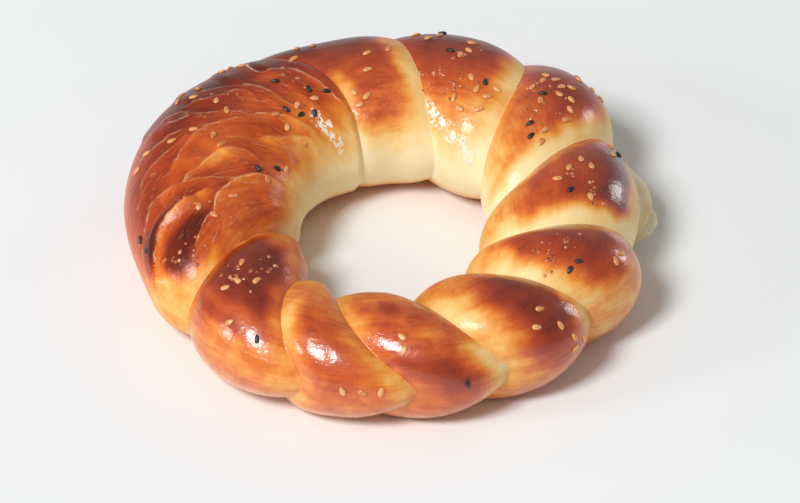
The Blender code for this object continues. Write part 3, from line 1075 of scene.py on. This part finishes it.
    # Paths of pale broken patches: flaked egg wash, partly painted sheen, on the smooth part, and a painted
    # highlight along the back-right turn.
    flake_and_highlight_paths: tuple[tuple[Turn, Pairs], ...] = (
        (Turn.SMOOTH, ((122.8, 128), (119.8, 136), (117.5, 145), (115.8, 154))),
        (Turn.BACK_RIGHT, ((73.8, 131), (70, 138), (64.8, 144), (58.2, 149), (51.5, 154), (45.2, 161))),
    )

    def section_angles(self) -> Array:
        """Gives the section angles of the mesh's points, in radians, with few across the flat underside."""
        low, high = self.underside_deg
        above = np.linspace(high - 360, low, self.points_above)
        below = np.linspace(low, high, self.points_below + 2)[1:-1]
        return np.radians(np.concatenate([above, below]))

    def turn_rows(self) -> tuple[Array, Array]:
        """Gives each row's turn and its share of the way across it, with rows closer near the valleys."""
        turns, shares = [], []
        for turn in Turn:
            rows = self.rows_on_smooth_part if turn is Turn.SMOOTH else self.rows_per_turn
            share = np.arange(rows) / rows
            eased = (1 - np.cos(np.pi * share)) / 2
            turns.append(np.full(rows, turn.value))
            shares.append(self.evenness * share + (1 - self.evenness) * eased)
        return np.concatenate(turns), np.concatenate(shares)

    def baked(self, at: Corners) -> Array:
        """Gives how brown the skin is, from 0 for pale dough to about 1 for the darkest crust."""
        degrees = at.degrees()
        degrees = np.where(degrees > self.underside_deg[0], degrees - 360, degrees)
        tone = np.zeros(at.turn.shape)
        for part, bake in zip(Turn, self.bakes):
            here = at.on(part)
            along, across = degrees[here], at.share[here]
            sway = sum(wave.at(along, part.value) for wave in self.sways)
            heave = sum(wave.at(across, part.value) for wave in self.heaves)
            if part is Turn.SMOOTH:
                sway, heave = sway * self.smooth_sway, heave * self.smooth_heave
            tone[here] = bake.tone(np.clip(across + sway, 0, 1), along + heave)
        tone += (self.underside_tone - tone) * ramp(-np.sin(at.section), *self.underside_fade)
        tone += sum(scorch.at(at.ring_deg, degrees) for scorch in self.scorches)
        return np.clip(tone, 0, self.darkest)

    def torus(self, rows: int, columns: int) -> bpy.types.Object:
        """Adds a torus with twice the rows and columns that its operator allows at most.

        Args:
            rows: How many rows of faces go round the ring.
            columns: How many faces go round the section.

        Returns:
            The torus, with even faces.
        """
        major, minor = self.radii
        bpy.ops.mesh.primitive_torus_add(
            major_segments=rows // 2, minor_segments=columns // 2, major_radius=major, minor_radius=minor
        )
        made = bpy.context.object
        finer = made.modifiers.new("finer", "SUBSURF")
        finer.subdivision_type = "SIMPLE"
        finer.levels = finer.render_levels = 1
        bpy.ops.object.modifier_apply(modifier=finer.name)
        while made.data.uv_layers:
            made.data.uv_layers.remove(made.data.uv_layers[0])
        return made

    def grid_of(self, mesh: bpy.types.Mesh, rows: int, columns: int) -> Array:
        """Gives the row and the column of each of the torus's points, from where it lies.

        Args:
            mesh: The torus.
            rows: How many rows go round the ring.
            columns: How many columns go round the section.

        Returns:
            Rows and columns, one pair for each point.
        """
        points = np.empty(len(mesh.vertices) * 3, np.float32)
        mesh.vertices.foreach_get("co", points)
        x, y, z = points.reshape(-1, 3).T
        ring = np.arctan2(y, x) / (2 * np.pi)
        section = np.arctan2(z, np.hypot(x, y) - self.radii[0]) / (2 * np.pi)
        row = np.round(ring * rows).astype(int) % rows
        return np.stack([row, np.round(section * columns).astype(int) % columns], -1)

    def lift(self, turn: Array, ring_deg: Array, section: Array) -> Array:
        """Gives how far the lips, the fold and the creases' layers stand out, in millimetres."""
        lift = self.roll.lift(ring_deg, section)
        smooth = turn == Turn.SMOOTH.value
        for crease in self.creases:
            away = self.roll.from_path(crease.path_deg, ring_deg[smooth], section[smooth])
            ease = np.exp(np.minimum(away, 0) / self.crease_reach)
            lift[smooth] += crease.height * fall(away, *self.layer_edge) * ease
        return lift

    def build(self) -> Piece:
        """Shapes a torus into the ring and dresses it.

        Returns:
            The bread's piece, which stands for the CAD node.
        """
        sections = self.section_angles()
        row_turn, row_share = self.turn_rows()
        rows, columns = len(row_turn), len(sections)
        made = self.torus(rows, columns)
        mesh = made.data
        grid = self.grid_of(mesh, rows, columns)
        row, section = grid[:, 0], sections[grid[:, 1]]
        ring = self.roll.ring_deg(row_turn[row], row_share[row], section)
        lift = self.lift(row_turn[row], ring, section)
        place = self.roll.skin(ring, section, lift) * MM + np.array(self.roll.centre())
        mesh.vertices.foreach_set("co", place.astype(np.float32).ravel())
        corner = np.empty(len(mesh.loops), np.int64)
        mesh.loops.foreach_get("vertex_index", corner)
        corner_row, corner_column = grid[corner].T
        face_rows = corner_row.reshape(-1, 4)
        low, high = face_rows.min(axis=1), face_rows.max(axis=1)
        face_row = np.repeat(np.where(high - low > 1, high, low), 4)
        # A corner on the far side of its face belongs to the end of the face's turn, never to the next turn.
        following = (face_row + 1) % rows
        at_end = row_turn[following] != row_turn[face_row]
        far_share = np.where(at_end, 1.0, row_share[following])
        share = np.where(corner_row == face_row, row_share[face_row], far_share)
        turn, section = row_turn[face_row], sections[corner_column]
        self.paint(mesh, Corners(turn, share, self.roll.ring_deg(turn, share, section), section))
        mesh.update()
        return Piece("bread", made, self.finish.material())

    def paint(self, mesh: bpy.types.Mesh, at: Corners) -> None:
        """Writes the crust's measures and the map that its streaks follow."""
        strokes = mesh.uv_layers.new(name=STROKE_MAP)
        strokes.uv.foreach_set("vector", self.strokes(at).astype(np.float32).ravel())
        for layer, values in self.measures(at).items():
            attribute = mesh.attributes.new(layer.value, "FLOAT", "CORNER")
            attribute.data.foreach_set("value", values.astype(np.float32))

    def strokes(self, at: Corners) -> Array:
        """Gives the map that the streaks follow, in millimetres, with each turn in a place of its own.

        The streaks of the smooth part run along its lips, and those of the turns across the turns.

        Args:
            at: The corners.

        Returns:
            One pair for each corner.
        """
        middle = self.roll.stations[0].middle
        angles, here = self.roll.valley_angles(at.section), np.arange(len(at.section))
        width = np.radians(angles[at.turn + 1, here] - angles[at.turn, here]) * middle
        around = at.section * self.roll.section_radius
        forward = np.radians(at.ring_deg - self.smooth_middle_deg) * middle
        run, aside = self.smooth_run
        smooth = at.on(Turn.SMOOTH)
        along = np.where(smooth, run * forward + aside * around, around) + at.turn * self.map_gap
        across = np.where(smooth, run * around - aside * forward, (at.share - 0.5) * width)
        return np.stack([along, across], -1)

    def creased(self, at: Corners) -> tuple[Array, Array, Array]:
        """Gives what the creases do to the crust.

        Args:
            at: The corners.

        Returns:
            The distance from the nearest crease, how strong that crease is, and the change of tone that paints
            light and shade beside it.
        """
        smooth = at.on(Turn.SMOOTH)
        nearest = np.full(smooth.shape, self.off_crease)
        strength, painted_light, painted_shade = np.zeros((3, *smooth.shape))
        for crease in self.creases:
            off = np.full(smooth.shape, FAR)
            off[smooth] = self.roll.from_path(crease.path_deg, at.ring_deg[smooth], at.section[smooth])
            gap = np.abs(off)
            nearer = gap < np.abs(nearest)
            nearest = np.where(nearer, off, nearest)
            strength = np.where(nearer, crease.strength * fall(gap, *self.line_fade), strength)
            # Painted light on the raised layer's side of each line, and painted shade on the other side.
            fade = np.exp(-gap / self.crease_tone_reach)
            painted_light = np.maximum(painted_light, crease.painted_light * fall(off, *self.painted_light_edge) * fade)
            painted_shade = np.maximum(painted_shade, crease.painted_shade * ramp(off, *self.painted_shade_edge) * fade)
        return nearest, strength, painted_shade - painted_light

    def measures(self, at: Corners) -> dict[Layer, Array]:
        """Gives the values of each of the crust's layers."""
        crease, creased, change = self.creased(at)
        # The creases' painted light and shade go into how brown the skin is.
        bake = np.minimum(self.baked(at) + change, 1.0)
        flaked = np.zeros(at.turn.shape)
        for part, path in self.flake_and_highlight_paths:
            here = at.on(part)
            off = np.abs(self.roll.from_path(path, at.ring_deg[here], at.section[here]))
            flaked[here] = np.maximum(flaked[here], fall(off, *self.flake_and_highlight_fade))
        feathered = self.feather_in.at(bake) * self.feather_out.at(bake)
        stretched = self.hair_in.at(bake) * self.hair_out.at(bake)
        crest = self.crest_in.at(at.degrees()) * self.crest_out.at(at.degrees())
        backward = np.sin(np.radians(at.ring_deg)) * np.cos(at.section)
        washed = self.wash_in.at(bake) * self.wash_back.at(backward)
        smooth = at.on(Turn.SMOOTH)
        return {
            Layer.BAKE: bake,
            Layer.UNEVEN: self.uneven.at(bake) + self.feather_uneven * feathered,
            Layer.CREASE: crease,
            Layer.CREASED: creased,
            Layer.WASHED: washed * np.where(smooth, self.smooth_wash + self.crest_wash * crest, 1.0),
            Layer.HAIRED: np.where(smooth, stretched, self.turn_hair + self.feather_hair * feathered),
            Layer.FLAKED: flaked,
        }


@dataclass(frozen=True)
class Seeds:
    """The sesame and nigella seeds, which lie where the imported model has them."""

    roll: Roll = field(default_factory=Roll)
    sesame: Grain = Grain(3.0, 1.9, 0.9, 0.3)
    nigella: Grain = Grain(2.8, 1.6, 1.2, 0.3)
    sesame_finish: SeedFinish = SeedFinish("toasted sesame", "#cf7f3e", "#eeae6c", 0.4, 0.5, 0.05)
    nigella_finish: SeedFinish = SeedFinish("black nigella", "#17181b", "#2b2d31", 0.45, 0.25, 0.12)
    segments: int = 14
    ring_count: int = 9
    pointedness: float = 0.45
    belly: float = 0.2
    thinning: float = 0.3
    gap: float = 3.3
    tries: int = 40
    draw: int = 17
    patches: tuple[Patch, ...] = (
        Patch(6, 78, 5, 12, 3, 0), Patch(19, 38, 3, 6, 2, 1), Patch(23, 100, 3, 4, 2, 0),
        Patch(28, 106, 3, 4, 0, 2), Patch(33, 78, 6, 14, 5, 1), Patch(38, 28, 2, 5, 2, 0),
        Patch(41, 78, 5, 16, 6, 0), Patch(44, 42, 2, 8, 2, 0), Patch(57, 116, 7, 16, 7, 1),
        Patch(69, 78, 4, 14, 3, 1), Patch(80, 56, 5, 12, 3, 1), Patch(93, 88, 4, 12, 2, 0),
        Patch(101, 113, 5, 16, 4, 0), Patch(113, 56, 5, 12, 3, 0), Patch(116, 112, 8, 12, 1, 2),
        Patch(128, 120, 6, 7, 1, 3), Patch(128, 88, 3, 4, 0, 1), Patch(138, 48, 11, 12, 7, 0),
        Patch(140, 124, 5, 16, 3, 0), Patch(146, 82, 4, 6, 2, 0), Patch(159, 140, 7, 6, 1, 1),
        Patch(162, 80, 5, 22, 4, 0), Patch(164, 34, 6, 8, 2, 0), Patch(175, 126, 5, 12, 1, 1),
        Patch(191, 92, 7, 22, 3, 0), Patch(192, 25, 4, 4, 0, 2), Patch(222, 70, 6, 16, 4, 0),
        Patch(234, 36, 5, 12, 1, 1), Patch(265, 16, 5, 6, 3, 0), Patch(272, 60, 4, 16, 2, 0),
        Patch(287, 16, 3, 4, 0, 1), Patch(311, 40, 4, 14, 3, 0), Patch(317, 8, 3, 8, 3, 0),
        Patch(330, 63, 5, 5, 0, 2), Patch(338, 39, 3, 6, 2, 0), Patch(358, 78, 3, 18, 2, 1),
    )

    def place_on_skin(self, ring_deg: float, section_deg: float, heading: float) -> Matrix:
        """Lays a seed on the skin.

        Args:
            ring_deg: Ring angle in degrees.
            section_deg: Section angle in degrees.
            heading: Its turn on the skin, in radians.

        Returns:
            The seed's matrix in millimetres round the ring's centre, with its middle on the skin.
        """
        section, step = math.radians(section_deg), 0.5
        step_rad = math.radians(step)

        def at(ring: float, around: float) -> Array:
            return self.roll.relief(np.array(ring), around)

        across = at(ring_deg + step, section) - at(ring_deg - step, section)
        along = at(ring_deg, section + step_rad) - at(ring_deg, section - step_rad)
        up = Vector(np.cross(across, along)).normalized()
        forward = Vector(across).normalized()
        forward.rotate(Matrix.Rotation(heading, 3, up))
        turned = Matrix((forward, up.cross(forward), up)).transposed().to_4x4()
        return Matrix.Translation(Vector(at(ring_deg, section))) @ turned

    def strewn(self) -> list[tuple[Grain, Matrix]]:
        """Draws each seed's kind and matrix from the patches, with no two closer than the gap."""
        draw = random.Random(self.draw)
        found: list[tuple[Grain, Matrix]] = []
        for patch in self.patches:
            for grain in [self.sesame] * patch.sesame + [self.nigella] * patch.nigella:
                for _ in range(self.tries):
                    ring_deg = patch.ring_deg + draw.uniform(-1, 1) * patch.ring_spread
                    section_deg = patch.section_deg + draw.uniform(-1, 1) * patch.section_spread
                    place = self.place_on_skin(ring_deg, section_deg, draw.uniform(0, 2 * math.pi))
                    gaps = [(place.translation - other.translation).length for _, other in found]
                    if min(gaps, default=self.gap) >= self.gap:
                        found.append((grain, place))
                        break
        return found

    def model(self, grain: Grain) -> bpy.types.Object:
        """Shapes a sphere into one seed of true size, in millimetres, pointed at its +X end."""
        bpy.ops.mesh.primitive_uv_sphere_add(segments=self.segments, ring_count=self.ring_count, radius=0.5)
        made = bpy.context.object
        for vertex in made.data.vertices:
            x, y, z = vertex.co.z, vertex.co.x, vertex.co.y
            narrow = 1 - self.pointedness * (x + self.belly)
            thin = 1 - self.thinning * x
            vertex.co = (x * grain.length, y * grain.width * narrow, z * grain.thickness * thin)
        return made

    def build(self, bread: bpy.types.Object) -> list[Piece]:
        """Copies each kind of seed to its places on the bread.

        Args:
            bread: The ring that the seeds lie on.

        Returns:
            One piece for each kind.
        """
        strewn = self.strewn()
        centre = self.roll.centre()
        pieces = []
        for name, grain, finish in (
            ("sesame", self.sesame, self.sesame_finish),
            ("nigella", self.nigella, self.nigella_finish),
        ):
            first = self.model(grain)
            copies = []
            for place in [p for g, p in strewn if g is grain]:
                _, on_face, _, _ = bread.closest_point_on_mesh(place.translation * MM + centre)
                stand = grain.thickness * (0.5 - grain.sunk_share) * MM
                up = place.to_3x3().col[2]
                turned = place.to_3x3().to_4x4()
                matrix = Matrix.Translation(on_face + up * stand) @ turned @ Matrix.Scale(MM, 4)
                copies.append(stamped(first, matrix))
            bpy.data.objects.remove(first)
            pieces.append(Piece(name, joined(copies), finish.material()))
        return pieces


@dataclass(frozen=True)
class Blisters:
    """Tiny low domes of the crust, where the egg wash bubbled in the oven."""

    roll: Roll = field(default_factory=Roll)
    finish: BlisterFinish = field(default_factory=BlisterFinish)
    radius_range: tuple[float, float] = (0.28, 0.65)
    rise_share: float = 0.5
    stretch_range: tuple[float, float] = (1.0, 1.5)
    turn_range: tuple[float, float] = (0, 3.1)
    gather: float = 0.5
    segments: int = 10
    ring_count: int = 7
    draw: int = 5
    rashes: tuple[Rash, ...] = (
        Rash(222, 74, 7, 14, 16), Rash(224, 100, 5, 12, 10), Rash(204, 56, 4, 16, 12),
        Rash(190, 72, 5, 16, 6), Rash(327, 84, 5, 16, 18), Rash(337, 76, 5, 12, 6),
        Rash(358, 68, 4, 10, 10), Rash(3, 84, 3, 6, 5), Rash(33, 95, 6, 12, 16),
        Rash(43, 80, 6, 16, 12), Rash(66, 110, 6, 18, 20), Rash(75, 108, 4, 14, 12),
        Rash(68, 82, 5, 12, 8), Rash(118, 92, 8, 20, 8), Rash(142, 84, 10, 24, 8),
    )

    def build(self, bread: bpy.types.Object) -> Piece:
        """Shapes spheres into domes on the bread.

        Args:
            bread: The ring that the blisters lie on.

        Returns:
            The blisters' piece.
        """
        draw = random.Random(self.draw)
        centre = self.roll.centre()
        bpy.ops.mesh.primitive_uv_sphere_add(segments=self.segments, ring_count=self.ring_count, radius=1)
        first = bpy.context.object
        domes = []
        for rash in self.rashes:
            for _ in range(rash.count):
                ring_deg = rash.ring_deg + draw.gauss(0, self.gather) * rash.ring_spread
                section = math.radians(rash.section_deg + draw.gauss(0, self.gather) * rash.section_spread)
                point = Vector(self.roll.skin(np.array(ring_deg), section)) * MM + centre
                _, on_face, normal, _ = bread.closest_point_on_mesh(point)
                radius = draw.uniform(*self.radius_range) * MM
                wide = radius * draw.uniform(*self.stretch_range)
                size = Matrix.Diagonal((wide, radius, radius * self.rise_share, 1.0))
                turned = normal.to_track_quat("Z", "Y").to_matrix().to_4x4()
                turned = turned @ Matrix.Rotation(draw.uniform(*self.turn_range), 4, "Z")
                domes.append(stamped(first, Matrix.Translation(on_face) @ turned @ size))
        bpy.data.objects.remove(first)
        return Piece("blisters", joined(domes), self.finish.material())


def stamped(first: bpy.types.Object, matrix: Matrix) -> bpy.types.Object:
    """Copies an object and its mesh, and moves the copy's mesh by a matrix."""
    copy = first.copy()
    copy.data = first.data.copy()
    copy.data.transform(matrix)
    bpy.context.scene.collection.objects.link(copy)
    return copy


def joined(parts: list[bpy.types.Object]) -> bpy.types.Object:
    """Joins objects to one.

    Args:
        parts: Mesh objects at the origin.

    Returns:
        The one object.
    """
    bpy.ops.object.select_all(action="DESELECT")
    for part in parts:
        part.select_set(True)
    bpy.context.view_layer.objects.active = parts[0]
    bpy.ops.object.join()
    return parts[0]


@dataclass(frozen=True)
class Ply:
    """A ply of thin dough at the roll's flat end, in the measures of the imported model."""

    ring_from: float
    ring_to: float
    edge_from: float
    edge_to: float
    slope: float
    flare: float


@dataclass(frozen=True)
class RollEnd:
    """The flat end of the roll: plies that lie against the outer side of a turn and flare away from it."""

    roll: Roll = field(default_factory=Roll)
    finish: DoughFinish = field(default_factory=DoughFinish)
    plies: tuple[Ply, ...] = (Ply(6.5, 22, 5, 16, 4.5, 7.5), Ply(6.5, 20, 2.5, 8, 4, 12.5))
    slices: int = 60
    outline_points: int = 36
    embedded: float = 8
    clearance: float = 0.4
    foot_share: float = 0.4
    flare_power: float = 0.7
    sunk: float = 1.0
    tip_sunk: float = 0.6

    def flank_radius(self, ring_deg: float, up: float) -> float:
        """Gives how far from the ring's centre the roll's outer side is at a height."""
        middle, half_width, height = (
            float(self.roll.read(name, np.array(ring_deg))) for name in ("middle", "half_width", "height")
        )
        rise = (up / height - self.roll.middle_share) / (1 - self.roll.middle_share)
        return middle + half_width * math.sqrt(1 - rise**2)

    def outline(self, ply: Ply, share: float) -> tuple[float, list[tuple[float, float]]]:
        """Gives a ply's outline at a share of the way along it.

        Args:
            ply: The ply.
            share: The share of the way along it.

        Returns:
            The ring angle in degrees, and the corners as distances from the ring's centre and heights.
        """
        ring_deg = ply.ring_from + (ply.ring_to - ply.ring_from) * share
        reach = ply.flare * math.sin(math.pi * share) ** self.flare_power
        edge = ply.edge_from + (ply.edge_to - ply.edge_from) * share
        inside = self.flank_radius(ring_deg, self.clearance) - self.embedded
        foot = self.flank_radius(ring_deg, self.clearance) - self.sunk + reach * self.foot_share
        tip = self.flank_radius(ring_deg, edge) - self.tip_sunk + reach
        top = self.flank_radius(ring_deg, edge + ply.slope) - self.sunk
        bottom, back = self.clearance, edge + ply.slope
        return ring_deg, [(inside, bottom), (foot, bottom), (tip, edge), (top, back), (inside, back)]

    def shape(self, ply: Ply) -> bpy.types.Object:
        """Shapes a sphere into a ply, with its poles inside the bread.

        Args:
            ply: The ply's measures.

        Returns:
            The ply's object.
        """
        bpy.ops.mesh.primitive_uv_sphere_add(segments=self.outline_points, ring_count=self.slices, radius=1)
        made = bpy.context.object
        centre = self.roll.centre()
        outlines = [self.outline(ply, k / self.slices) for k in range(self.slices + 1)]
        for vertex in made.data.vertices:
            step = round(math.acos(max(-1.0, min(1.0, vertex.co.z))) / math.pi * self.slices)
            ring_deg, corners = outlines[step]
            round_share = math.atan2(vertex.co.y, vertex.co.x) / (2 * math.pi) % 1
            side, part = divmod(round_share * len(corners), 1)
            start, end = corners[int(side) % len(corners)], corners[(int(side) + 1) % len(corners)]
            radius, up = (a + (b - a) * part for a, b in zip(start, end))
            if step in (0, self.slices):
                radius, up = corners[0][0], corners[2][1]
            ring = math.radians(ring_deg)
            vertex.co = Vector((radius * math.cos(ring), radius * math.sin(ring), up)) * MM + centre
        return made

    def build(self) -> Piece:
        """Makes the plies one piece."""
        return Piece("roll_end", joined([self.shape(ply) for ply in self.plies]), self.finish.material())


@dataclass(frozen=True)
class Lamp:
    """A square soft light: the direction to it, its distance and side in metres, and its power."""

    name: str
    towards: tuple[float, float, float]
    distance: float
    size: float
    watts: float


@dataclass(frozen=True)
class Studio:
    """The plain floor, the soft lights and the camera."""

    roll: Roll = field(default_factory=Roll)
    camera_elevation_deg: float = 40
    camera_distance: float = 3.0
    lens_mm: float = 450
    sensor_mm: float = 36.0
    sight: float = 20.0
    aim_right_mm: float = 4.2
    aim_up_mm: float = 7.05
    lamps: tuple[Lamp, ...] = (
        Lamp("key", (-0.4, -0.48, 0.78), 4.0, 1.15, 130.0),
        Lamp("window", (-0.88, -0.3, 0.36), 3.0, 0.6, 16.0),
        Lamp("edge", (0.78, 0.6, 0.17), 3.0, 0.7, 9.0),
    )
    sky_strength: float = 0.28
    sky_colour: str = "#fbfbfd"
    floor_radius: float = 3.0
    floor_points: int = 96

    def build(self) -> None:
        """Sets the floor, the lights, a dim even sky and the camera."""
        self.floor()
        for lamp in self.lamps:
            self.hang(lamp)
        self.sky()
        self.camera()

    def floor(self) -> None:
        """Lays a round pale floor under the bread."""
        bpy.ops.mesh.primitive_circle_add(vertices=self.floor_points, radius=self.floor_radius, fill_type="NGON")
        floor = bpy.context.object
        floor.name = "floor"
        floor.data.materials.append(FloorFinish().material())

    def hang(self, lamp: Lamp) -> None:
        """Hangs a square soft light."""
        direction = Vector(lamp.towards).normalized()
        bpy.ops.object.light_add(type="AREA", location=self.roll.centre() + direction * lamp.distance)
        made = bpy.context.object
        made.name = lamp.name
        made.rotation_euler = direction.to_track_quat("Z", "Y").to_euler()
        made.data.shape = "SQUARE"
        made.data.size = lamp.size
        made.data.energy = lamp.watts

    def sky(self) -> None:
        """Sets a dim even sky."""
        world = bpy.data.worlds.new("studio")
        world.use_nodes = True
        background = world.node_tree.nodes["Background"]
        background.inputs["Color"].default_value = linear(self.sky_colour)
        background.inputs["Strength"].default_value = self.sky_strength
        bpy.context.scene.world = world
        bpy.context.scene.view_settings.view_transform = "Standard"

    def camera(self) -> None:
        """Sets the camera above the front of the bread."""
        rise = math.radians(self.camera_elevation_deg)
        away = Vector((0, -math.cos(rise), math.sin(rise)))
        picture_up = Vector((0, math.sin(rise), math.cos(rise)))
        aside = Vector((1, 0, 0)) * self.aim_right_mm + picture_up * self.aim_up_mm
        aim = self.roll.centre() + aside * MM
        bpy.ops.object.camera_add(location=aim + away * self.camera_distance)
        camera = bpy.context.object
        camera.rotation_euler = away.to_track_quat("Z", "Y").to_euler()
        camera.data.lens = self.lens_mm
        camera.data.sensor_width = self.sensor_mm
        camera.data.clip_end = self.sight
        bpy.context.scene.camera = camera


def main() -> None:
    """Builds the bread, its toppings and the studio."""
    logging.basicConfig(level=logging.INFO)
    bpy.ops.object.select_all(action="DESELECT")
    bread = BreadRing().build()
    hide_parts(NODE)
    Seeds().build(bread.object)
    Blisters().build(bread.object)
    RollEnd().build()
    Studio().build()


if __name__ == "__main__":
    main()
